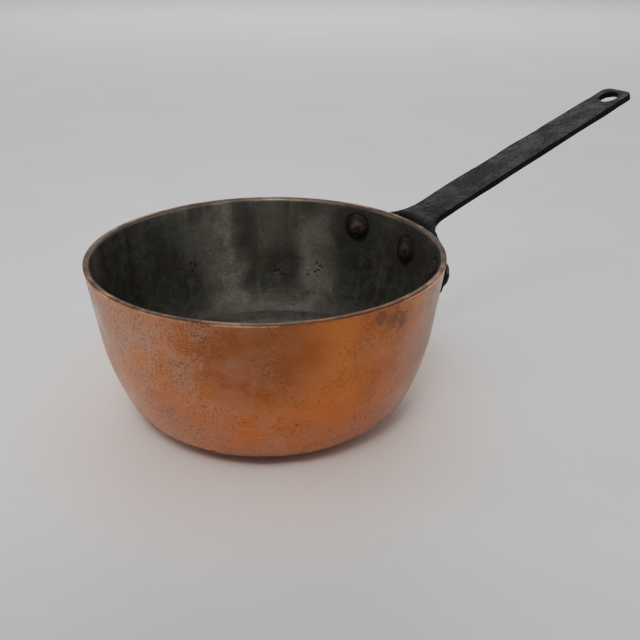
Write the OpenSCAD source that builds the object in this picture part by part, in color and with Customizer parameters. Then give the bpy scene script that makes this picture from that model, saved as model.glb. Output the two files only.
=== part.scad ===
// Copper saucepan: a tinned copper bowl with a forged iron handle on three copper rivets.
// Millimetres, +Z up. The origin is the centre of the base's underside.
// The handle leaves the wall along +X and rises as it goes.

/* [Pan] */
// Outer diameter across the rim
rim_d = 190; // [150:1:300]
// Height from the base's underside to the rim
pan_h = 89; // [72:1:180]
// Thickness of the copper sheet
sheet_t = 2.4; // [1.5:0.1:3.5]
// Lean of the straight upper wall away from the vertical, in degrees
wall_lean = 7.3; // [3:0.1:12]
// Lean of the wall where the belly runs into the bottom corner, in degrees
belly_lean = 25; // [18:1:40]
// Outside radius of the belly, between the straight wall and the corner
belly_r = 127; // [70:1:180]
// Outside radius of the bottom corner
corner_r = 25.5; // [15:0.5:34]

/* [Lining] */
// Thickness of the tin wiped over the inside
tin_t = 0.3; // [0.2:0.05:0.6]

/* [Grip] */
// Length of the grip from the wall to its tip, along its slope
grip_len = 164.5; // [110:0.5:260]
// Slope of the grip above the horizontal, in degrees
grip_slope = 21.8; // [8:0.1:35]
// Width of the grip at the wall, before its edges flare
grip_root_w = 26.2; // [20:0.5:34]
// Width of the grip at its tip
grip_tip_w = 22.8; // [20:0.2:26]
// Radius of the corners at the tip
tip_corner_r = 5.5; // [2:0.5:9.5]
// Thickness of the grip
grip_t = 3.8; // [2.8:0.1:5]
// Height of the grip's top face above the rim, at the wall
grip_rise = 2.4; // [1.5:0.1:4]
// Radius that the grip's edges flare with, out to the flange
flare_r = 11; // [4:0.5:14]
// Radius under the grip, where it bends down into the flange
bend_r = 14; // [8:0.5:20]
// Radius of the crest over the rim, where the top of that bend turns down to the wall
crest_r = 5; // [3:0.5:8]

/* [Hanging hole] */
// Diameter of the hole near the tip
hang_hole_d = 11.5; // [8:0.5:14]
// Distance from the tip to the hole's centre
hang_hole_inset = 9.8; // [9:0.1:16]

/* [Flange] */
// Thickness of the flange that lies against the wall
flange_t = 2.4; // [1.6:0.1:3.6]
// Radius of the flange's lobe round each side rivet
side_lobe_r = 10.5; // [9:0.5:13]
// Radius of the flange's lobe round the centre rivet
centre_lobe_r = 12; // [9:0.5:14]
// Radius of the shoulders at the flange's top corners
shoulder_r = 3; // [1.5:0.5:5]
// Depth of the shoulders below the rim
shoulder_drop = 1.5; // [0.5:0.1:4]
// Depth of the hollows in the flange's lower edge, between its lobes
scallop_depth = 2; // [1:0.2:4]
// Radius of those hollows
scallop_r = 34; // [24:1:60]

/* [Rivets] */
// Diameter of each rivet's shank
shank_d = 6.4; // [4:0.2:8]
// Diameter of the low domed head inside the pan
head_d = 15; // [11:0.2:17]
// Height of that head
head_h = 2.2; // [1.6:0.1:3.5]
// Height of the upright edge round that head
head_edge = 0.6; // [0.3:0.1:1.2]
// Diameter of the hammered tail outside the flange
tail_d = 12.2; // [8.6:0.1:14]
// Height of that tail
tail_h = 3.4; // [2.4:0.1:4.5]
// Height of the upright edge round that tail
tail_edge = 1.8; // [0.4:0.1:2]
// Spacing from the centre rivet to each side rivet, round the wall
rivet_pitch = 43; // [34:1:60]
// Depth of the centre rivet below the rim
rivet_drop = 17; // [15:0.5:24]
// How much higher than the centre rivet the left one was set
left_rivet_rise = 3.8; // [0:0.2:5]
// How much higher than the centre rivet the right one was set
right_rivet_rise = 1; // [0:0.2:5]
// Clearance all round a shank in its hole
shank_clear = 0.05; // [0.02:0.01:0.1]

/* [Hidden] */
$fn = 128;

COPPER = "#b5653c";
TIN = "#4d4c47";
IRON = "#3d3d3f";

// Angle between neighbouring points of a rounded outline
arc_step = 3;
// How far cutting and joining shapes run past the surfaces they meet
overrun = 1;
// How far the bend under the grip sinks into the faces that it blends
blend_sink = 0.1;
// How far the sides of the flange's webs lie inside the tangents of the discs they join
web_sink = 0.3;
// How far blanks run above the rim before they are trimmed
headroom = 30;

rim_r = rim_d / 2;
// Height at which the corner runs into the belly, and the belly into the straight wall
corner_top = corner_r * (1 - sin(belly_lean));
belly_top = corner_top + belly_r * (sin(belly_lean) - sin(wall_lean));
// Radius of the base's flat disc
base_r = rim_r - (pan_h - belly_top) * tan(wall_lean)
    - belly_r * (cos(wall_lean) - cos(belly_lean)) - corner_r * cos(belly_lean);
// Centre of the belly's arc, as [radius, height]
belly_centre = [base_r, corner_r]
    + (corner_r - belly_r) * [cos(belly_lean), -sin(belly_lean)];

// The lining's inner face, measured in from the copper's outer face
lining_depth = sheet_t + tin_t;

LEFT = 0;
CENTRE = 1;
RIGHT = 2;
// Height of each rivet's axis at the copper's outer face
rivet_z = [for (rise = [left_rivet_rise, 0, right_rivet_rise]) pan_h - rivet_drop + rise];
lobe_r = [side_lobe_r, centre_lobe_r, side_lobe_r];
pitch_angle = rivet_pitch / wall_r(pan_h - rivet_drop) * 180 / PI;
rivet_az = [pitch_angle, 0, -pitch_angle];

// Half width of the grip's root, and with its flares
root_half = grip_root_w / 2;
neck_half = root_half + flare_r;
// Centre of the arc at each corner of the tip, as [along, sideways] from the grip's root
tip_arc = [grip_len, grip_tip_w / 2] - tip_corner_r * [1, 1];
// Angle that each edge of the grip closes in by, from its root to that arc
to_tip_arc = tip_arc - [0, root_half];
taper = atan2(-to_tip_arc.y, to_tip_arc.x) - asin(tip_corner_r / norm(to_tip_arc));
// Top of the flange's shoulders
shoulder_top = pan_h - shoulder_drop;

// Point on the outline that lies depth inside the pan's outer face, where its normal leans by a
function corner_point(a, depth) = [base_r, corner_r] + (corner_r - depth) * [cos(a), -sin(a)];
function belly_point(a, depth) = belly_centre + (belly_r - depth) * [cos(a), -sin(a)];

// Radius of the outer face of the pan at height z, and the lean of the wall there
function wall_lean_at(z) =
    z >= belly_top ? wall_lean : asin((belly_centre.y - z) / belly_r);
function wall_r(z) =
    z >= belly_top ? rim_r - (pan_h - z) * tan(wall_lean)
    : belly_centre.x + belly_r * cos(wall_lean_at(z));

// Radius at height z of the straight wall's face that lies depth inside the outer one
function face_r(z, depth) = rim_r - (pan_h - z) * tan(wall_lean) - depth / cos(wall_lean);

// Half outline, as [radius, height], of the pan's shape with its skin depth deep taken off
module outline(depth, top) {
    corner_steps = ceil((90 - belly_lean) / arc_step);
    belly_steps = ceil((belly_lean - wall_lean) / arc_step);
    polygon(concat(
        [[0, depth]],
        [for (i = [0 : corner_steps])
            corner_point(90 - i * (90 - belly_lean) / corner_steps, depth)],
        [for (i = [1 : belly_steps])
            belly_point(belly_lean - i * (belly_lean - wall_lean) / belly_steps, depth)],
        [[face_r(top, depth), top], [0, top]]
    ));
}

// Everything inside the pan's outer face, less a skin depth deep, up to height top
module pan_blank(depth, top) {
    rotate_extrude() outline(depth, top);
}

// Sheet of the pan's shape between two depths, cut flat at the rim
module pan_sheet(outer_depth, inner_depth) {
    rotate_extrude() difference() {
        outline(outer_depth, pan_h);
        outline(inner_depth, pan_h + overrun);
    }
}

// Frame of a rivet: origin on the pan's outer face, +Z out along the rivet's axis
module at_rivet(i) {
    rotate([0, 0, rivet_az[i]])
        translate([wall_r(rivet_z[i]), 0, rivet_z[i]])
            rotate([0, 90 + wall_lean_at(rivet_z[i]), 0])
                children();
}

// Bores for all three rivets, through the wall, its lining and the flange
module rivet_bores() {
    for (i = [LEFT : RIGHT])
        at_rivet(i)
            translate([0, 0, -lining_depth - head_h])
                cylinder(d = shank_d + 2 * shank_clear, h = lining_depth + head_h + flange_t + tail_h);
}

// Radius of the ball that a dome of width d and height h is the top of
function dome_r(d, h) = (d * d / 4 + h * h) / (2 * h);

// Button of width d whose top is a dome at height h, with an upright edge, run down well below zero
module button(d, h, edge) {
    ball_r = dome_r(d, h - edge);
    intersection() {
        translate([0, 0, h - ball_r]) sphere(r = ball_r);
        translate([0, 0, -h]) cylinder(d = d, h = 2 * h);
    }
}

// A rivet: low domed head on the tin, shank through all the layers, hammered tail on the flange
module rivet(i) {
    color(COPPER) {
        at_rivet(i)
            translate([0, 0, -lining_depth - head_h / 2])
                cylinder(d = shank_d, h = lining_depth + flange_t + head_h / 2 + tail_h / 2);
        intersection() {
            at_rivet(i)
                translate([0, 0, -lining_depth])
                    mirror([0, 0, 1])
                        button(head_d, head_h, head_edge);
            pan_blank(lining_depth, pan_h);
        }
        difference() {
            at_rivet(i)
                translate([0, 0, flange_t])
                    button(tail_d, tail_h, tail_edge);
            pan_blank(-flange_t, pan_h);
        }
    }
}

// Copper bowl raised from one sheet
module pan_body() {
    color(COPPER) difference() {
        pan_sheet(0, sheet_t);
        rivet_bores();
    }
}

// Tin wiped over the inside, up to the rim
module tin_lining() {
    color(TIN) difference() {
        pan_sheet(sheet_t, lining_depth);
        rivet_bores();
    }
}

// Frame of the grip: origin on its top face above the pan's rim, +X out along it, +Z off its face
module in_grip_frame() {
    translate([rim_r, 0, pan_h + grip_rise]) rotate([0, -grip_slope, 0]) children();
}

// Outline of the grip in its own plane: tapering sides, a blunt tip and a flared neck
module grip_outline() {
    root_x = -rim_r / 4;
    half_at_root = root_half - root_x * tan(taper);
    arc_steps = ceil((90 - taper) / arc_step);
    left_side = concat(
        [[root_x, half_at_root]],
        [for (i = [arc_steps : -1 : 0])
            let (a = i * (90 - taper) / arc_steps)
            tip_arc + tip_corner_r * [cos(a), sin(a)]]
    );
    right_side = [for (i = [len(left_side) - 1 : -1 : 0])
        [left_side[i].x, -left_side[i].y]];
    polygon(concat(left_side, right_side));
    for (side = [0, 1])
        mirror([0, side, 0])
            translate([0, root_half])
                rotate(-taper)
                    difference() {
                        translate([root_x, -overrun]) square([flare_r - root_x, flare_r + overrun]);
                        translate([flare_r, flare_r + blend_sink]) circle(r = flare_r + 2 * blend_sink);
                    }
}

// Prism with the grip's outline, from low to high along the grip's own Z
module grip_prism(low, high) {
    in_grip_frame() translate([0, 0, low]) linear_extrude(high - low) grip_outline();
}

// Round blend under the grip, between its underside and the flange's outer face
module bend() {
    // Angle at the corner between the flange's face and the grip's underside
    corner = 90 + wall_lean + grip_slope;
    reach = bend_r / tan(corner / 2);
    // Where those two faces would meet, worked out at the middle of the grip
    flange_at_rim = face_r(pan_h, -flange_t);
    under_at_rim = pan_h + grip_rise - grip_t / cos(grip_slope)
        + (flange_at_rim - rim_r) * tan(grip_slope);
    meet_z = pan_h + (under_at_rim - pan_h) / (1 - tan(grip_slope) * tan(wall_lean));
    meet = [face_r(meet_z, -flange_t), meet_z];
    down = [-sin(wall_lean), -cos(wall_lean)];
    out = [cos(grip_slope), sin(grip_slope)];
    inward = [-cos(wall_lean), sin(wall_lean)];
    upward = [-sin(grip_slope), cos(grip_slope)];
    foot = meet + reach * down;
    nose = meet + reach * out;
    centre = foot - bend_r * inward;
    rotate([0, 0, -90]) rotate_extrude(angle = 180) difference() {
        polygon([
            foot + (flange_t + overrun) * inward,
            foot,
            centre,
            nose,
            nose + overrun * upward,
            meet + (flange_t + overrun) * inward + overrun * upward
        ]);
        translate(centre) circle(r = bend_r + blend_sink);
    }
}

// What is taken off over the rim, to leave a round crest between the grip's top face and the wall
module above_crest() {
    // Half the angle between the wall and the grip's top face
    half_corner = (90 + grip_slope) / 2;
    reach = crest_r / tan(half_corner);
    corner = [rim_r, pan_h + grip_rise];
    centre = corner + [crest_r, -reach];
    along = [cos(grip_slope), sin(grip_slope)];
    upward = [-sin(grip_slope), cos(grip_slope)];
    rotate_extrude() difference() {
        polygon([
            corner - [2 * overrun, reach],
            centre,
            corner + reach * along,
            corner + reach * along + crest_r * upward,
            corner + [-2 * overrun, crest_r]
        ]);
        translate(centre) circle(r = crest_r - blend_sink);
    }
}

// Four-sided web that joins two discs into one rounded bar, its sides just inside their tangents
module web(c1, r1, c2, r2) {
    along = atan2(c2.y - c1.y, c2.x - c1.x);
    open = acos((r1 - r2) / norm(c2 - c1));
    left = [cos(along + open), sin(along + open)];
    right = [cos(along - open), sin(along - open)];
    polygon([
        c1 + (r1 - web_sink) * left,
        c1 + (r1 - web_sink) * right,
        c2 + (r2 - web_sink) * right,
        c2 + (r2 - web_sink) * left
    ]);
}

// Turns a flat outline, as [sideways, height], to face out at azimuth az, and runs it out past the wall
module facing(az) {
    rotate([0, 0, az]) rotate([90, 0, 90]) linear_extrude(rim_r + headroom) children();
}

// Half of the flange's outline: the web from the centre lobe to one side lobe, and its shoulder
module flange_side(i) {
    mid_az = rivet_az[i] / 2;
    hand = sign(rivet_az[i]);
    side = [hand * wall_r(rivet_z[i]) * sin(abs(mid_az)), rivet_z[i]];
    centre = [-hand * wall_r(rivet_z[CENTRE]) * sin(abs(mid_az)), rivet_z[CENTRE]];
    shoulder_az = asin(neck_half / rim_r);
    shoulder = [hand * rim_r * sin(shoulder_az - abs(mid_az)), shoulder_top - shoulder_r];
    along = (side - centre) / norm(side - centre);
    below = [hand * along.y, -hand * along.x];
    lower_edge = (side + centre) / 2 + below * (side_lobe_r + centre_lobe_r) / 2;
    facing(mid_az) difference() {
        union() {
            web(centre, centre_lobe_r, side, side_lobe_r);
            web(shoulder, shoulder_r, side, side_lobe_r);
            translate(shoulder) circle(r = shoulder_r);
            polygon([centre, side, shoulder, [0, pan_h], [centre.x, pan_h]]);
        }
        translate(lower_edge + below * (scallop_r - scallop_depth)) circle(r = scallop_r);
    }
    at_rivet(i) cylinder(r = lobe_r[i], h = 2 * headroom, center = true);
}

// Outline of the whole flange, as a block that runs out through the wall
module flange_block() {
    flange_side(LEFT);
    flange_side(RIGHT);
    at_rivet(CENTRE) cylinder(r = centre_lobe_r, h = 2 * headroom, center = true);
    facing(0)
        translate([-neck_half, rivet_z[CENTRE]])
            square([2 * neck_half, pan_h - rivet_z[CENTRE]]);
}

// Forged iron handle: a flange bent round the wall and a flat grip with a hanging hole
module handle() {
    color(IRON) difference() {
        union() {
            intersection() {
                pan_blank(-flange_t, pan_h);
                flange_block();
            }
            grip_prism(-grip_t, 0);
            intersection() {
                bend();
                grip_prism(-headroom, -grip_t / 2);
            }
        }
        pan_blank(0, pan_h + headroom);
        above_crest();
        rivet_bores();
        in_grip_frame()
            translate([grip_len - hang_hole_inset, 0, -grip_t - overrun])
                cylinder(d = hang_hole_d, h = grip_t + 2 * overrun);
    }
}

pan_body();
tin_lining();
handle();
rivet(LEFT);  // rivet_left
rivet(CENTRE);  // rivet_centre
rivet(RIGHT);  // rivet_right
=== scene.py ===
# A tinned copper saucepan with a forged iron handle, standing on a pale studio floor.
import math

import bmesh
import bpy
from mathutils import Matrix, Vector, noise


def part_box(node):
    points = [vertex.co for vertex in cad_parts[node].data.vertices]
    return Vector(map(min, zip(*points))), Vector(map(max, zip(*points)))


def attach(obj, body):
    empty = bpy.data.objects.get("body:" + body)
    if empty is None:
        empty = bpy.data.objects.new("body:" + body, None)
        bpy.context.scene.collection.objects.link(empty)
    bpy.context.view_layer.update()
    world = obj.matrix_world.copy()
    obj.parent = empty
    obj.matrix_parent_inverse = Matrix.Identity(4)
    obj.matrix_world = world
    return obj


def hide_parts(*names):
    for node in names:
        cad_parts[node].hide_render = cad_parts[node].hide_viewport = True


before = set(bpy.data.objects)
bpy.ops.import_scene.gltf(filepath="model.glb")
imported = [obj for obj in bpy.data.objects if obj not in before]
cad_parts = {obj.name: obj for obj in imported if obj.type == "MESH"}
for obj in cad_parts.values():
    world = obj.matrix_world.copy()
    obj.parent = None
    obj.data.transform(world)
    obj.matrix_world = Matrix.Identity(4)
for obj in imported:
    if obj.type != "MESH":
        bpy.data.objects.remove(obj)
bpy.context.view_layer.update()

# ---------------------------------------------------------------------------------------------
# Studio: the eye that looks down into the pan, a pale sheet to stand on, and soft light.
# The handle runs along +X, turned away from the eye's own right by handle_turn.

handle_turn = math.radians(28.6)
look_down = math.radians(25.35)
eye_tilt = math.radians(0.18)
eye_place = Vector((0.0285, -0.4013, 0.2368))
toward_view = Matrix.Rotation(-handle_turn, 4, "Z")

camera_data = bpy.data.cameras.new("camera")
camera_data.lens = 45.0
camera_data.clip_start = 0.01
camera = bpy.data.objects.new("camera", camera_data)
camera.matrix_world = (
    toward_view
    @ Matrix.Translation(eye_place)
    @ Matrix.Rotation(math.pi / 2 - look_down, 4, "X")
    @ Matrix.Rotation(eye_tilt, 4, "Z")
)
bpy.context.scene.collection.objects.link(camera)
bpy.context.scene.camera = camera


def set_socket(tree, socket, value):
    """Sets a socket to a plain value, or wires another node's output into it."""
    if isinstance(value, bpy.types.NodeSocket):
        tree.links.new(value, socket)
    else:
        socket.default_value = value


def add_node(tree, kind, sockets=None, **settings):
    """A node of that kind, with its settings and its sockets set."""
    made = tree.nodes.new(kind)
    for name, value in settings.items():
        setattr(made, name, value)
    for name, value in (sockets or {}).items():
        set_socket(tree, made.inputs[name], value)
    return made


def between(tree, value, low, high, start=0.0, end=1.0):
    """Carries value, as it goes from start to end, smoothly from low to high."""
    made = add_node(tree, "ShaderNodeMapRange", {
        "Value": value, "From Min": start, "From Max": end, "To Min": low, "To Max": high,
    }, interpolation_type="SMOOTHSTEP")
    return made.outputs["Result"]


def blend(tree, share, under, over, how="MIX"):
    """Lays the colour over on the colour under, by share."""
    made = add_node(tree, "ShaderNodeMix", data_type="RGBA", blend_type=how)
    for index, value in ((0, share), (6, under), (7, over)):
        set_socket(tree, made.inputs[index], value)
    return made.outputs[2]


def sum_of(tree, *values, how="ADD"):
    """Joins masks or values one after another with one kind of sum."""
    total = values[0]
    for value in values[1:]:
        total = add_node(tree, "ShaderNodeMath", {0: total, 1: value}, operation=how).outputs[0]
    return total


def new_group(name, inputs, outputs):
    """A shared effect with named inputs and outputs, and the ends that it is wired between."""
    tree = bpy.data.node_groups.new(name, "ShaderNodeTree")
    for title, kind, value in inputs:
        made = tree.interface.new_socket(title, in_out="INPUT", socket_type=kind)
        if value is not None:
            made.default_value = value
    for title, kind in outputs:
        tree.interface.new_socket(title, in_out="OUTPUT", socket_type=kind)
    given = tree.nodes.new("NodeGroupInput").outputs
    result = tree.nodes.new("NodeGroupOutput").inputs
    return tree, given, result


def use_group(tree, group, sockets):
    """One use of a shared effect, for its outputs."""
    made = tree.nodes.new("ShaderNodeGroup")
    made.node_tree = group
    for name, value in sockets.items():
        set_socket(tree, made.inputs[name], value)
    return made.outputs


FLOAT, VECTOR = "NodeSocketFloat", "NodeSocketVector"

# Cloudy patches, hard or soft edged as Low and High are near or far apart
patches, given, result = new_group(
    "cloudy_patches",
    [("Place", VECTOR, None), ("Scale", FLOAT, 20.0), ("Low", FLOAT, 0.4), ("High", FLOAT, 0.6)],
    [("Mask", FLOAT)],
)
cloud = add_node(patches, "ShaderNodeTexNoise", {
    "Vector": given["Place"], "Scale": given["Scale"], "Detail": 6.0, "Roughness": 0.6,
})
patches.links.new(
    between(patches, cloud.outputs["Fac"], 0.0, 1.0, given["Low"], given["High"]), result["Mask"])

# One round mark at a chosen place, with a ragged or a clean edge
spot, given, result = new_group(
    "ragged_spot",
    [("Place", VECTOR, None), ("Centre", VECTOR, (0, 0, 0)), ("Radius", FLOAT, 0.01),
     ("Blur", FLOAT, 0.4), ("Ragged", FLOAT, 0.6), ("Grain", FLOAT, 90.0)],
    [("Mask", FLOAT)],
)
gap = add_node(spot, "ShaderNodeVectorMath", {0: given["Place"], 1: given["Centre"]},
               operation="DISTANCE")
reach = sum_of(spot, gap.outputs["Value"], given["Radius"], how="DIVIDE")
edge_cloud = add_node(spot, "ShaderNodeTexNoise", {
    "Vector": given["Place"], "Scale": given["Grain"], "Detail": 5.0, "Roughness": 0.65,
})
either_way = add_node(spot, "ShaderNodeMapRange", {
    "Value": edge_cloud.outputs["Fac"], "To Min": -1.0, "To Max": 1.0})
wobbled = sum_of(spot, reach, sum_of(spot, either_way.outputs["Result"], given["Ragged"],
                                     how="MULTIPLY"))
spot.links.new(
    between(spot, wobbled, 1.0, 0.0, sum_of(spot, 1.0, given["Blur"], how="SUBTRACT"),
            sum_of(spot, 1.0, given["Blur"])), result["Mask"])


def new_finish(name):
    """An empty material, with its tree, its Principled shader and the place on the piece, in metres."""
    made = bpy.data.materials.new(name)
    made.use_nodes = True
    tree = made.node_tree
    shader = tree.nodes["Principled BSDF"]
    place = tree.nodes.new("ShaderNodeTexCoord").outputs["Object"]
    return made, tree, shader, place


def mesh_piece(name, build, finish):
    """A mesh object whose faces build(bm) makes, smooth all over, with one finish."""
    bm = bmesh.new()
    build(bm)
    bmesh.ops.recalc_face_normals(bm, faces=bm.faces)
    mesh = bpy.data.meshes.new(name)
    bm.to_mesh(mesh)
    bm.free()
    mesh.materials.append(finish)
    mesh.shade_smooth()
    piece = bpy.data.objects.new(name, mesh)
    bpy.context.scene.collection.objects.link(piece)
    return piece


floor_half = 6.0
floor_drop = 0.0001
PAPER_PALE = (0.64, 0.635, 0.635, 1)
PAPER_GREY = (0.60, 0.597, 0.60, 1)
PAPER_SHADED = (0.40, 0.388, 0.375, 1)
PAPER_REFLECTED_WARM = (0.72, 0.56, 0.49, 1)

paper, tree, shader, place = new_finish("studio_paper")
mottle = use_group(tree, patches, {"Place": place, "Scale": 7.0, "Low": 0.3, "High": 0.7})["Mask"]
# Painted reflection: a warm spot on the sheet round the pan's foot, standing in for the light the
# copper throws onto it.
painted_warm_reflection = use_group(tree, spot, {
    "Place": place, "Radius": 0.125, "Blur": 0.5, "Ragged": 0.15, "Grain": 12.0})["Mask"]
sheet = blend(tree, mottle, PAPER_GREY, PAPER_PALE)
# Painted shade: a darker patch on the sheet in front of the pan, toward the eye.
painted_near_shade = use_group(tree, spot, {
    "Place": place, "Centre": toward_view @ Vector((-0.02, -0.43, 0)), "Radius": 0.28,
    "Blur": 0.45, "Ragged": 0.1, "Grain": 8.0})["Mask"]
sheet = blend(tree, between(tree, painted_near_shade, 0.0, 0.75), sheet, PAPER_SHADED)
tree.links.new(
    blend(tree, between(tree, painted_warm_reflection, 0.0, 0.8), sheet, PAPER_REFLECTED_WARM),
    shader.inputs["Base Color"])
shader.inputs["Roughness"].default_value = 0.6


def lay_floor(bm):
    """The sheet, a hair under the pan's base."""
    bmesh.ops.create_grid(bm, x_segments=24, y_segments=24, size=floor_half)
    bmesh.ops.translate(bm, verts=bm.verts, vec=(0, 0, -floor_drop))


floor = mesh_piece("studio_floor", lay_floor, paper)


def soft_box(name, place, width, height, power, aim=(0, 0, 0.05), spread=math.pi):
    """A flat soft light, placed and aimed in the view's own directions."""
    data = bpy.data.lights.new(name, "AREA")
    data.shape = "RECTANGLE"
    data.size = width
    data.size_y = height
    data.energy = power
    data.spread = spread
    light = bpy.data.objects.new(name, data)
    light_place = toward_view @ Vector(place)
    light.location = light_place
    light.rotation_euler = (
        (toward_view @ Vector(aim) - light_place).to_track_quat("-Z", "Y").to_euler())
    bpy.context.scene.collection.objects.link(light)


soft_box("overhead_light", (-0.15, 0.15, 1.3), 1.3, 1.0, 5.0)
soft_box("front_light", (-0.15, -0.70, 1.15), 0.6, 0.4, 0.8, aim=(-0.05, 0.02, 0.0),
         spread=math.radians(44))
soft_box("left_light", (-1.3, 0.1, 0.7), 0.9, 0.9, 3.2)
soft_box("right_light", (1.3, 0.0, 0.7), 0.9, 0.9, 2.0)
soft_box("far_light", (0.0, 2.6, 1.6), 3.0, 1.2, 50.0, aim=(0.0, 2.4, 0.0))

air_strength, air_strength_at_eye = 0.56, 0.25
world = bpy.data.worlds.new("studio_air")
bpy.context.scene.world = world
world.use_nodes = True
air = world.node_tree
direction = air.nodes.new("ShaderNodeTexCoord").outputs["Generated"]
to_eye = (toward_view @ Vector((-0.1, -1, 0.35))).normalized()
facing = add_node(air, "ShaderNodeVectorMath", {0: direction, 1: to_eye}, operation="DOT_PRODUCT")
air.links.new(
    between(air, facing.outputs["Value"], air_strength, air_strength_at_eye, 0.5, 0.95),
    air.nodes["Background"].inputs["Strength"])
air.nodes["Background"].inputs["Color"].default_value = (0.95, 0.98, 1.0, 1.0)

# ---------------------------------------------------------------------------------------------
# Pan body: one copper sheet raised over a stake into a bowl with a flat base.
# Its outline is a straight wall, a wide belly arc and a tight corner arc. Years on the fire and
# in the scullery have browned it, with a pinker bloom on one side, pits and a few dark stains.
# Its colour also holds painted light: a dark painted reflection of the eye on the front, a pinker
# painted reflection of the floor low on the belly, a grey painted reflection on the side seen
# edge-on, a greenish painted highlight near the rim and a painted highlight along the rim's
# worn outer edge.

pan_low, pan_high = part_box("pan_body")
rim_r = (pan_high.y - pan_low.y) / 2
pan_h = pan_high.z
# The sheet's thickness and the outline's arcs and leans, as the solid has them
sheet_t = 0.0024
tin_t = 0.0003
wall_lean = math.radians(7.3)
belly_lean = math.radians(25)
belly_r = 0.127
corner_r = 0.0255
corner_top = corner_r * (1 - math.sin(belly_lean))
belly_top = corner_top + belly_r * (math.sin(belly_lean) - math.sin(wall_lean))
base_r = (
    rim_r
    - (pan_h - belly_top) * math.tan(wall_lean)
    - belly_r * (math.cos(wall_lean) - math.cos(belly_lean))
    - corner_r * math.cos(belly_lean)
)
round_steps = 288
axis_r = 1e-6
base_steps, corner_steps, belly_steps, wall_steps = 10, 16, 14, 16


def outline(depth, top):
    """Half outline, as (radius, height), from the axis up to top, depth inside the outer face."""
    points = [(base_r * i / base_steps, depth) for i in range(base_steps)]
    for i in range(corner_steps + 1):
        lean = math.pi / 2 + (belly_lean - math.pi / 2) * i / corner_steps
        reach = corner_r - depth
        points.append((base_r + reach * math.cos(lean), corner_r - reach * math.sin(lean)))
    swing = corner_r - belly_r
    centre = (base_r + swing * math.cos(belly_lean), corner_r - swing * math.sin(belly_lean))
    for i in range(1, belly_steps + 1):
        lean = belly_lean + (wall_lean - belly_lean) * i / belly_steps
        reach = belly_r - depth
        points.append((centre[0] + reach * math.cos(lean), centre[1] - reach * math.sin(lean)))
    start_r, start_z = points[-1]
    for i in range(1, wall_steps + 1):
        rise = (top - start_z) * i / wall_steps
        points.append((start_r + rise * math.tan(wall_lean), start_z + rise))
    return points


def on_wall(bearing, height, depth=0.0):
    """The place on the pan's face at that bearing from the handle and that height, in mm."""
    height = height / 1000
    points = outline(depth, pan_h)
    for (r1, z1), (r2, z2) in zip(points, points[1:]):
        if z2 > z1 and z1 <= height <= z2:
            radius = r1 + (r2 - r1) * (height - z1) / (z2 - z1)
            break
    turn = math.radians(bearing)
    return Vector((radius * math.cos(turn), radius * math.sin(turn), height))


swells = ((0.00030, 17.0), (0.00009, 52.0))
rim_wave, rim_wave_scale, rim_wave_curve = 0.00035, 14.0, 6
rim_wave_slice = Vector((0, 0, 3.1))


def hand_worked(point):
    """The small swell and dip that raising by hand leaves, none of it where the base stands."""
    height = min(max(point.z / pan_h, 0.0), 1.0)
    out = Vector((point.x, point.y, 0.0))
    if out.length < axis_r:
        return point
    swell = sum(deep * noise.noise(point * scale) for deep, scale in swells)
    wave = rim_wave * noise.noise(out * rim_wave_scale + rim_wave_slice) * height ** rim_wave_curve
    return point + out.normalized() * swell * height + Vector((0, 0, wave))


def spin(bm, points):
    """Faces of the outline turned round the axis, each point moved as the hammer moved it."""
    rings = []
    for radius, height in points:
        if radius < axis_r:
            rings.append([bm.verts.new((0, 0, height))])
            continue
        ring = []
        for i in range(round_steps):
            turn = 2 * math.pi * i / round_steps
            ring.append(bm.verts.new(hand_worked(Vector(
                (radius * math.cos(turn), radius * math.sin(turn), height)))))
        rings.append(ring)
    for low, high in zip(rings, rings[1:]):
        for i in range(round_steps):
            j = (i + 1) % round_steps
            if len(low) == 1:
                bm.faces.new((low[0], high[i], high[j]))
            elif len(high) == 1:
                bm.faces.new((low[i], high[0], low[j]))
            else:
                bm.faces.new((low[i], high[i], high[j], low[j]))


rim_edge_r, rim_edge_steps = 0.0006, 4


def rim_edge(radius, inward):
    """The rounding of the cut rim, from the face at that radius up to the top."""
    points = []
    for i in range(rim_edge_steps + 1):
        turn = math.pi / 2 * i / rim_edge_steps
        points.append((radius + inward * rim_edge_r * (1 - math.cos(turn)),
                       pan_h - rim_edge_r * (1 - math.sin(turn))))
    return points


def raise_bowl(bm):
    """The sheet from the outside of its base, over the rim, to the inside of its floor."""
    outer = outline(0.0, pan_h - rim_edge_r)
    inner = outline(sheet_t, pan_h - rim_edge_r)
    lip = rim_edge(outer[-1][0], -1)[1:] + rim_edge(inner[-1][0], 1)[:0:-1]
    spin(bm, outer + lip + inner[::-1])


# Small pits, a few of the cells in a grid of that scale
pits, given, result = new_group(
    "small_pits",
    [("Place", VECTOR, None), ("Scale", FLOAT, 500.0), ("Size", FLOAT, 0.3), ("Keep", FLOAT, 0.3)],
    [("Mask", FLOAT)],
)
pit_wander = 0.0009
nudge = add_node(pits, "ShaderNodeTexNoise", {
    "Vector": given["Place"], "Scale": sum_of(pits, given["Scale"], 1.7, how="MULTIPLY"),
})
nudged = add_node(pits, "ShaderNodeVectorMath", {
    0: nudge.outputs["Color"], 1: (pit_wander,) * 3, 2: given["Place"],
}, operation="MULTIPLY_ADD")
cells = add_node(pits, "ShaderNodeTexVoronoi", {
    "Vector": nudged.outputs["Vector"], "Scale": given["Scale"],
})
hole = between(pits, cells.outputs["Distance"], 1.0, 0.0,
               sum_of(pits, given["Size"], 0.6, how="MULTIPLY"), given["Size"])
pick = add_node(pits, "ShaderNodeSeparateColor", {"Color": cells.outputs["Color"]})
kept = sum_of(pits, pick.outputs["Red"], given["Keep"], how="LESS_THAN")
pits.links.new(sum_of(pits, hole, kept, how="MULTIPLY"), result["Mask"])


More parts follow.
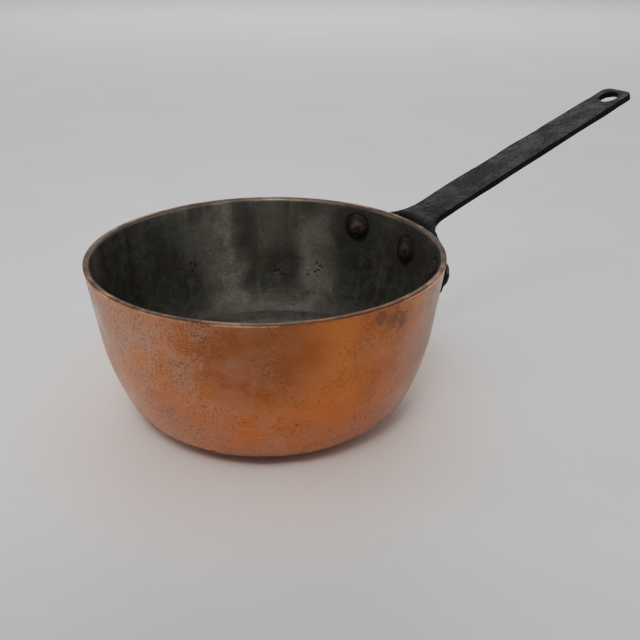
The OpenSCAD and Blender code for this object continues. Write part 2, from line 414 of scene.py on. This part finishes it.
def stretched(tree, place, scale):
    """The place on the piece, stretched so that what is drawn with it is drawn out into streaks."""
    return add_node(tree, "ShaderNodeMapping", {"Vector": place, "Scale": scale}).outputs["Vector"]


def add_bump(tree, shader, height, depth):
    """Raises the finish by height times depth, in metres."""
    made = add_node(tree, "ShaderNodeBump", {"Height": height, "Distance": depth})
    tree.links.new(made.outputs["Normal"], shader.inputs["Normal"])


COPPER_ORANGE = (0.455, 0.150, 0.048, 1)
COPPER_BROWN = (0.29, 0.096, 0.035, 1)
COPPER_SPECK = (0.20, 0.075, 0.032, 1)
COPPER_PINK = (0.425, 0.222, 0.142, 1)
COPPER_GREY = (0.275, 0.168, 0.120, 1)
COPPER_GREEN = (0.25, 0.20, 0.115, 1)
COPPER_WORN_HIGHLIGHT = (0.80, 0.42, 0.25, 1)
RIM_BROWN = (0.066, 0.042, 0.031, 1)
PIT_BROWN = (0.07, 0.035, 0.02, 1)
STAIN = (0.10, 0.058, 0.042, 1)

copper, tree, shader, place = new_finish("aged_copper")
height = add_node(tree, "ShaderNodeSeparateXYZ", {"Vector": place}).outputs["Z"]


def mark(bearing, height, radius, blur=0.4, ragged=0.6, grain=90.0, depth=0.0):
    """Mask of one mark on the pan's face, in the finish in hand, placed and sized in mm."""
    return use_group(tree, spot, {
        "Place": place, "Centre": on_wall(bearing, height, depth), "Radius": radius / 1000,
        "Blur": blur, "Ragged": ragged, "Grain": grain,
    })["Mask"]


def marks(places, **look):
    """Mask of all the marks whose (bearing, height, radius) are in places."""
    return sum_of(tree, *[mark(*sizes, **look) for sizes in places], how="MAXIMUM")


def patch(scale, low, high, vector=None):
    """Mask of cloudy patches, in the finish in hand."""
    return use_group(tree, patches, {
        "Place": vector or place, "Scale": scale, "Low": low, "High": high})["Mask"]


upright = stretched(tree, place, (1, 1, 0.22))
level = stretched(tree, place, (0.12, 0.12, 1))
# Browning in cloudy patches, and at bearing -119, on the front that faces the eye, a dark painted
# reflection of the eye.
browning_and_eye_reflection = sum_of(tree, patch(16.0, 0.44, 0.68, upright),
                 mark(-119, 70, 27, blur=0.5, ragged=0.35, grain=30), how="MAXIMUM")
# A pinker bloom on one side, and low on the belly, fading out by 52 mm up, a pinker painted reflection
# of the pale floor.
pink_bloom_and_floor_reflection = sum_of(tree, mark(-165, 46, 72, blur=0.55, ragged=0.35, grain=28),
               between(tree, height, 0.95, 0.0, 0.006, 0.052), how="MAXIMUM")
pink_bloom_and_floor_reflection = sum_of(tree, pink_bloom_and_floor_reflection, patch(60.0, 0.30, 0.62), how="MULTIPLY")
pink_bloom_and_floor_reflection = sum_of(tree, pink_bloom_and_floor_reflection, between(tree, patch(24.0, 0.52, 0.72), 0.0, 0.45), how="MAXIMUM")
# A grey painted reflection of the pale studio on the side that the eye sees edge-on.
painted_edge_reflection = mark(-30, 45, 55, blur=0.6, ragged=0.3, grain=25)
rubbed = sum_of(tree, mark(-136, 80, 16, blur=0.6, ragged=1.0, grain=110),
                mark(-160, 66, 30, blur=0.6, ragged=1.0, grain=90), how="MAXIMUM")
fine = patch(760.0, 0.48, 0.60)
speckled = sum_of(tree, fine, sum_of(tree, patch(34.0, 0.44, 0.62), rubbed, pink_bloom_and_floor_reflection,
                                     how="MAXIMUM"), how="MULTIPLY")
pitted_places = marks(
    ((-143, 58, 10), (-131.5, 57, 8), (-108, 29, 9), (-152, 38, 9), (-136, 80, 12), (-118, 66, 7)),
    ragged=1.0, grain=160,
)
pitting = use_group(
    tree, pits, {"Place": place, "Scale": 1350.0, "Size": 0.52, "Keep": 0.45})["Mask"]
stray = use_group(tree, pits, {"Place": place, "Scale": 260.0, "Size": 0.13, "Keep": 0.2})["Mask"]
pitted = sum_of(tree, sum_of(tree, pitting, pitted_places, how="MULTIPLY"), stray, how="MAXIMUM")
deep_pits = marks(((-95.1, 24.5, 0.7), (-106.7, 32.2, 0.8), (-119.5, 33.0, 0.6)),
                  blur=0.3, ragged=0.4, grain=900)
pitted = sum_of(tree, pitted, deep_pits, how="MAXIMUM")
stained = marks(((-77.5, 81.5, 5.0), (-73.0, 78, 3.5), (-82, 84, 3.4)),
                blur=0.9, ragged=1.8, grain=320)
# A greenish-yellow painted highlight near the rim.
painted_green_highlight = mark(-52, 84, 8, blur=0.7, ragged=1.2, grain=160)
hairlines = patch(260.0, 0.52, 0.66, level)
edge_start, edge_end = pan_h - 0.0007, pan_h - 0.0003
wear_and_highlight_start, wear_and_highlight_end = pan_h - 0.0016, pan_h - 0.0010
rim_top = between(tree, height, 0.0, 1.0, edge_start, edge_end)
# The rim's outer edge: worn bright copper, with a painted highlight along it.
rim_wear_and_highlight = sum_of(
    tree, between(tree, height, 0.0, 1.0, wear_and_highlight_start, wear_and_highlight_end), patch(26.0, 0.48, 0.60),
    how="MULTIPLY",
)

colour = blend(tree, browning_and_eye_reflection, COPPER_ORANGE, COPPER_BROWN)
colour = blend(tree, pink_bloom_and_floor_reflection, colour, COPPER_PINK)
colour = blend(tree, painted_edge_reflection, colour, COPPER_GREY)
colour = blend(tree, between(tree, speckled, 0.0, 0.60), colour, COPPER_SPECK)
colour = blend(tree, between(tree, hairlines, 0.0, 0.18), colour, COPPER_BROWN)
colour = blend(tree, between(tree, stained, 0.0, 0.62), colour, STAIN)
colour = blend(tree, between(tree, painted_green_highlight, 0.0, 0.5), colour, COPPER_GREEN)
colour = blend(tree, between(tree, pitted, 0.0, 0.5), colour, PIT_BROWN)
colour = blend(tree, rim_wear_and_highlight, colour, COPPER_WORN_HIGHLIGHT)
colour = blend(tree, sum_of(tree, rim_top, between(tree, patch(120.0, 0.3, 0.7), 0.7, 1.0),
                            how="MULTIPLY"), colour, RIM_BROWN)
tree.links.new(colour, shader.inputs["Base Color"])
gloss = between(tree, sum_of(tree, pink_bloom_and_floor_reflection, painted_edge_reflection, stained, how="MAXIMUM"), 0.27, 0.42)
gloss = sum_of(tree, gloss, between(tree, patch(45.0, 0.35, 0.65), -0.04, 0.05))
gloss = sum_of(tree, gloss, between(tree, pitted, 0.0, 0.2), between(tree, rim_top, 0.0, 0.28))
tree.links.new(gloss, shader.inputs["Roughness"])
shader.inputs["Metallic"].default_value = 1.0
relief = sum_of(tree, between(tree, fine, 0.0, 0.25), between(tree, hairlines, 0.0, 0.15))
relief = sum_of(tree, relief, patch(75.0, 0.2, 0.8))
relief = sum_of(tree, relief, between(tree, pitted, 0.0, 1.6), how="SUBTRACT")
add_bump(tree, shader, relief, depth=0.00006)

body = mesh_piece("copper_bowl", raise_bowl, copper)
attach(body, "root")
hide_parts("pan_body")

# ---------------------------------------------------------------------------------------------
# Tin lining: tin wiped on hot over the whole inside, then darkened by food and scoured with sand.
# It is darkest round the rivets and has worn in rings on the floor. Its floor, its low wall and
# patches of the far wall are darkened with painted shade, and painted light brightens a band low on
# the wall and other patches of the far wall.

TIN_DARK = (0.095, 0.088, 0.072, 1)
TIN_GREY = (0.19, 0.18, 0.145, 1)
TIN_PALE = (0.36, 0.345, 0.28, 1)
TIN_BROWN = (0.13, 0.098, 0.062, 1)
TIN_SHADED = (0.042, 0.040, 0.035, 1)
TIN_BLACK = (0.016, 0.014, 0.012, 1)

tin, tree, shader, place = new_finish("darkened_tin")
parts = add_node(tree, "ShaderNodeSeparateXYZ", {"Vector": place}).outputs
height = parts["Z"]
from_axis = add_node(tree, "ShaderNodeVectorMath", {
    0: stretched(tree, place, (1, 1, 0))}, operation="LENGTH").outputs["Value"]
upright = stretched(tree, place, (1, 1, 0.16))
wide_smears = patch(30.0, 0.42, 0.66, upright)
wiped = patch(95.0, 0.46, 0.70, upright)
mottled = patch(140.0, 0.38, 0.66)
grain_marks = patch(520.0, 0.44, 0.62)
lining_depth = sheet_t + tin_t
# Painted light: pale patches across the far wall, which faces the eye.
painted_light_places = marks(
    ((91, 62, 17), (84, 46, 15), (44, 62, 15), (43, 42, 13), (82, 24, 12)),
    blur=0.7, ragged=0.9, grain=60, depth=lining_depth,
)
floor_end, wall_start = 0.010, 0.034
floor_share = between(tree, height, 1.0, 0.0, floor_end, wall_start)
turned = add_node(tree, "ShaderNodeCombineXYZ", {
    "X": from_axis, "Y": sum_of(tree, parts["X"], 0.03, how="MULTIPLY"),
    "Z": sum_of(tree, parts["Y"], 0.03, how="MULTIPLY")}).outputs["Vector"]
rings = sum_of(tree, patch(420.0, 0.42, 0.62, turned), floor_share, how="MULTIPLY")
# A pale painted reflection of the light above, in a band across the low wall from 16 to 25 mm up.
band_foot, band_foot_end = 0.0160, 0.0178
band_top, band_top_end = 0.019, 0.025
painted_reflection_band = sum_of(tree, between(tree, height, 0.0, 1.0, band_foot, band_foot_end),
              between(tree, height, 1.0, 0.0, band_top, band_top_end),
              patch(45.0, 0.35, 0.6), how="MULTIPLY")
rivet_bearing = 26.54
rivet_marks = ((rivet_bearing, 75.8), (0.0, 72.0), (-rivet_bearing, 73.0))
burnt_r, crevice_r = 18.0, 9.2
burnt = marks([rivet_mark + (burnt_r,) for rivet_mark in rivet_marks],
              blur=0.6, ragged=0.9, grain=110, depth=lining_depth)
crevice = marks([rivet_mark + (crevice_r,) for rivet_mark in rivet_marks],
                blur=0.16, ragged=0.3, grain=200, depth=lining_depth)
black_places = marks(((43, 44, 7), (60, 44, 6), (100, 50, 6)),
                     ragged=1.0, grain=200, depth=lining_depth)
flecks = use_group(tree, pits, {"Place": place, "Scale": 380.0, "Size": 0.45, "Keep": 0.6})["Mask"]
stray = use_group(tree, pits, {"Place": place, "Scale": 170.0, "Size": 0.12, "Keep": 0.12})["Mask"]
flecked = sum_of(tree, sum_of(tree, flecks, black_places, how="MULTIPLY"), stray, how="MAXIMUM")
shaded = sum_of(
    tree, marks(((128, 52, 52), (5, 56, 48)), blur=0.5, ragged=0.3, grain=30, depth=lining_depth),
    mark(63, 42, 15, blur=0.7, ragged=0.7, grain=40, depth=lining_depth), how="MAXIMUM")

colour = blend(tree, wide_smears, TIN_DARK, TIN_GREY)
colour = blend(tree, between(tree, wiped, 0.0, 0.35), colour, TIN_PALE)
colour = blend(tree, between(tree, painted_light_places, 0.0, 0.65), colour, TIN_PALE)
colour = blend(tree, between(tree, shaded, 0.0, 0.8), colour, TIN_SHADED)
colour = blend(tree, between(tree, mottled, 0.0, 0.45), colour, TIN_DARK)
colour = blend(tree, between(tree, patch(40.0, 0.55, 0.7), 0.0, 0.55), colour, TIN_BROWN)
# Painted shade on the floor and the low wall.
colour = blend(tree, between(tree, floor_share, 0.0, 0.92), colour, TIN_SHADED)
colour = blend(tree, between(tree, painted_reflection_band, 0.0, 0.4), colour, TIN_GREY)
colour = blend(tree, between(tree, rings, 0.0, 0.22), colour, TIN_GREY)
colour = blend(tree, between(tree, grain_marks, 0.0, 0.35), colour, TIN_DARK)
colour = blend(tree, between(tree, burnt, 0.0, 0.88), colour, TIN_SHADED)
colour = blend(tree, between(tree, crevice, 0.0, 0.9), colour, TIN_BLACK)
colour = blend(tree, between(tree, flecked, 0.0, 0.8), colour, TIN_BLACK)
worn_through = between(tree, height, 0.0, 1.0, wear_and_highlight_start, pan_h - 0.0002)
colour = blend(tree, worn_through, colour, RIM_BROWN)
tree.links.new(colour, shader.inputs["Base Color"])
gloss = between(tree, sum_of(tree, wiped, burnt, how="MAXIMUM"), 0.40, 0.52)
gloss = sum_of(tree, gloss, between(tree, mottled, -0.05, 0.06),
               between(tree, floor_share, 0.0, 0.3))
tree.links.new(gloss, shader.inputs["Roughness"])
shader.inputs["Metallic"].default_value = 0.7
relief = sum_of(tree, between(tree, grain_marks, 0.0, 0.4), mottled,
                between(tree, rings, 0.0, 0.8))
relief = sum_of(tree, relief, between(tree, flecked, 0.0, 1.5), how="SUBTRACT")
add_bump(tree, shader, relief, depth=0.00007)


tin_tuck, tin_edge_drop = 0.00002, 0.0002


def wipe_tin(bm):
    """The skin, its back tucked a hair into the copper and its edge just under the rim."""
    back = outline(sheet_t - tin_tuck, pan_h - tin_edge_drop)
    front = outline(lining_depth, pan_h - tin_edge_drop)
    spin(bm, back + front[::-1])


lining = mesh_piece("tin_skin", wipe_tin, tin)
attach(lining, "root")
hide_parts("tin_lining")

# ---------------------------------------------------------------------------------------------
# Handle: forged in one piece from iron bar, its flange bent round the wall under the rim.
# The hammer has left its faces a little uneven and its edges soft, under old black scale.

IRON_BLACK = (0.0037, 0.0037, 0.0040, 1)
IRON_GREY = (0.0065, 0.0063, 0.0072, 1)
IRON_PALE = (0.0101, 0.0099, 0.0107, 1)
IRON_RUST = (0.0090, 0.0062, 0.0053, 1)

iron, tree, shader, place = new_finish("forged_iron")
along = stretched(tree, place, (0.35, 1, 0.35))
colour = blend(tree, patch(38.0, 0.36, 0.64), IRON_BLACK, IRON_GREY)
colour = blend(tree, between(tree, patch(130.0, 0.46, 0.70, along), 0.0, 0.6), colour, IRON_PALE)
colour = blend(tree, between(tree, patch(55.0, 0.58, 0.72), 0.0, 0.55), colour, IRON_RUST)
scale_grain = patch(480.0, 0.45, 0.62)
colour = blend(tree, between(tree, scale_grain, 0.0, 0.45), colour, IRON_BLACK)
iron_pits = use_group(
    tree, pits, {"Place": place, "Scale": 260.0, "Size": 0.32, "Keep": 0.22})["Mask"]
colour = blend(tree, between(tree, iron_pits, 0.0, 0.8), colour, IRON_BLACK)
tree.links.new(colour, shader.inputs["Base Color"])
gloss = between(tree, patch(70.0, 0.35, 0.65), 0.52, 0.66)
gloss = sum_of(tree, gloss, between(tree, scale_grain, 0.0, 0.10))
tree.links.new(gloss, shader.inputs["Roughness"])
shader.inputs["Metallic"].default_value = 0.4
shader.inputs["Specular IOR Level"].default_value = 0.15
relief = sum_of(tree, scale_grain, between(tree, patch(150.0, 0.3, 0.7), 0.0, 1.6))
relief = sum_of(tree, relief, between(tree, iron_pits, 0.0, 1.5), how="SUBTRACT")
add_bump(tree, shader, relief, depth=0.00012)


def worked_copy(node, name, grid, rounds, dents, finish, home=Matrix.Identity(4)):
    """The node's shape with its edges softened over rounds and dents (size, depth) beaten in."""
    blank = bpy.data.objects.new(name + "_blank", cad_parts[node].data.copy())
    bpy.context.scene.collection.objects.link(blank)
    remesh = blank.modifiers.new("remesh", "REMESH")
    remesh.mode = "VOXEL"
    remesh.voxel_size = grid
    smooth = blank.modifiers.new("smooth", "SMOOTH")
    smooth.factor = 0.5
    smooth.iterations = rounds
    bpy.context.view_layer.update()
    shape = blank.evaluated_get(bpy.context.evaluated_depsgraph_get())
    mesh = bpy.data.meshes.new_from_object(shape)
    bpy.data.objects.remove(blank)
    away = home.inverted()
    lines_out = [vertex.normal.copy() for vertex in mesh.vertices]
    for vertex, line_out in zip(mesh.vertices, lines_out):
        depth = sum(deep * noise.noise(vertex.co / size) for size, deep in dents)
        vertex.co = away @ (vertex.co + line_out * depth)
    mesh.materials.clear()
    mesh.materials.append(finish)
    mesh.shade_smooth()
    piece = bpy.data.objects.new(name, mesh)
    piece.matrix_world = home
    bpy.context.scene.collection.objects.link(piece)
    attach(piece, "root")
    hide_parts(node)
    return piece


handle = worked_copy("handle", "forged_handle", grid=0.0005, rounds=5,
                     dents=((0.018, 0.00030), (0.006, 0.00010)), finish=iron)
wing_start, wing_end = 0.011, 0.024
wing_drop, wing_drop_curve = 0.0028, 1.2
wing_top, wing_top_h = pan_h - 0.0015, 0.0030
wing_foot = pan_h - 0.006
wing_draw, wing_draw_curve = 0.85, 1.5
flange_face = rim_r + 0.0020


def draw_wing(point):
    """Draws a point of the neck's wings down and in, to lie against the wall at the rim.

    The grip's edges reach a little beyond wing_start, and move with them by under half a mm.
    """
    out = min((abs(point.y) - wing_start) / (wing_end - wing_start), 1.0)
    if out <= 0:
        return point
    up = min(max((point.z - wing_top) / wing_top_h, 0.0), 1.0)
    drawn = point - Vector((0, 0, wing_drop * out ** wing_drop_curve * up))
    level = Vector((drawn.x, drawn.y, 0))
    proud = level.length - flange_face
    if proud > 0 and drawn.z > wing_foot:
        drawn -= level.normalized() * proud * wing_draw * out ** wing_draw_curve
    return drawn


for vertex in handle.data.vertices:
    vertex.co = draw_wing(vertex.co)

# ---------------------------------------------------------------------------------------------
# Rivets: three of soft copper, put in from the inside with low broad heads, and each tail
# hammered over on the flange. They have gone dark brown, a little worn on their crowns, and the
# tails show some verdigris.

RIVET_DARK = (0.026, 0.018, 0.014, 1)
RIVET_BROWN = (0.040, 0.029, 0.022, 1)
RIVET_WORN = (0.105, 0.078, 0.058, 1)
VERDIGRIS = (0.10, 0.15, 0.12, 1)

rivet_copper, tree, shader, place = new_finish("rivet_copper")
parts = add_node(tree, "ShaderNodeSeparateXYZ", {"Vector": place}).outputs
off_axis = add_node(tree, "ShaderNodeVectorMath", {
    0: stretched(tree, place, (1, 1, 0))}, operation="LENGTH").outputs["Value"]
crown_r, head_r = 0.0025, 0.0062
crown = between(tree, off_axis, 1.0, 0.0, crown_r, head_r)
crown = sum_of(tree, crown, patch(260.0, 0.34, 0.60), how="MULTIPLY")
outside = between(tree, parts["Z"], 0.0, 1.0, -0.001, 0.001)
colour = blend(tree, patch(180.0, 0.40, 0.62), RIVET_DARK, RIVET_BROWN)
colour = blend(tree, between(tree, crown, 0.0, 0.9), colour, RIVET_WORN)
dull = sum_of(tree, outside, between(tree, patch(220.0, 0.3, 0.7), 0.55, 0.95), how="MULTIPLY")
colour = blend(tree, dull, colour, RIVET_DARK)
green = sum_of(tree, outside, patch(300.0, 0.48, 0.62), how="MULTIPLY")
colour = blend(tree, between(tree, green, 0.0, 0.7), colour, VERDIGRIS)
tree.links.new(colour, shader.inputs["Base Color"])
tree.links.new(between(tree, crown, 0.55, 0.36), shader.inputs["Roughness"])
shader.inputs["Metallic"].default_value = 0.9
relief = sum_of(tree, patch(420.0, 0.35, 0.65), patch(1400.0, 0.4, 0.6))
add_bump(tree, shader, relief, depth=0.00012)

for side, (bearing, level_mm) in zip(("left", "centre", "right"), rivet_marks):
    seat = on_wall(bearing, level_mm)
    home = (
        Matrix.Translation(seat)
        @ Matrix.Rotation(math.radians(bearing), 4, "Z")
        @ Matrix.Rotation(math.pi / 2 + wall_lean, 4, "Y")
    )
    rivet = worked_copy("rivet_" + side, "copper_rivet_" + side, grid=0.00025, rounds=4,
                        dents=((0.0045, 0.00022), (0.0018, 0.00008)), finish=rivet_copper, home=home)
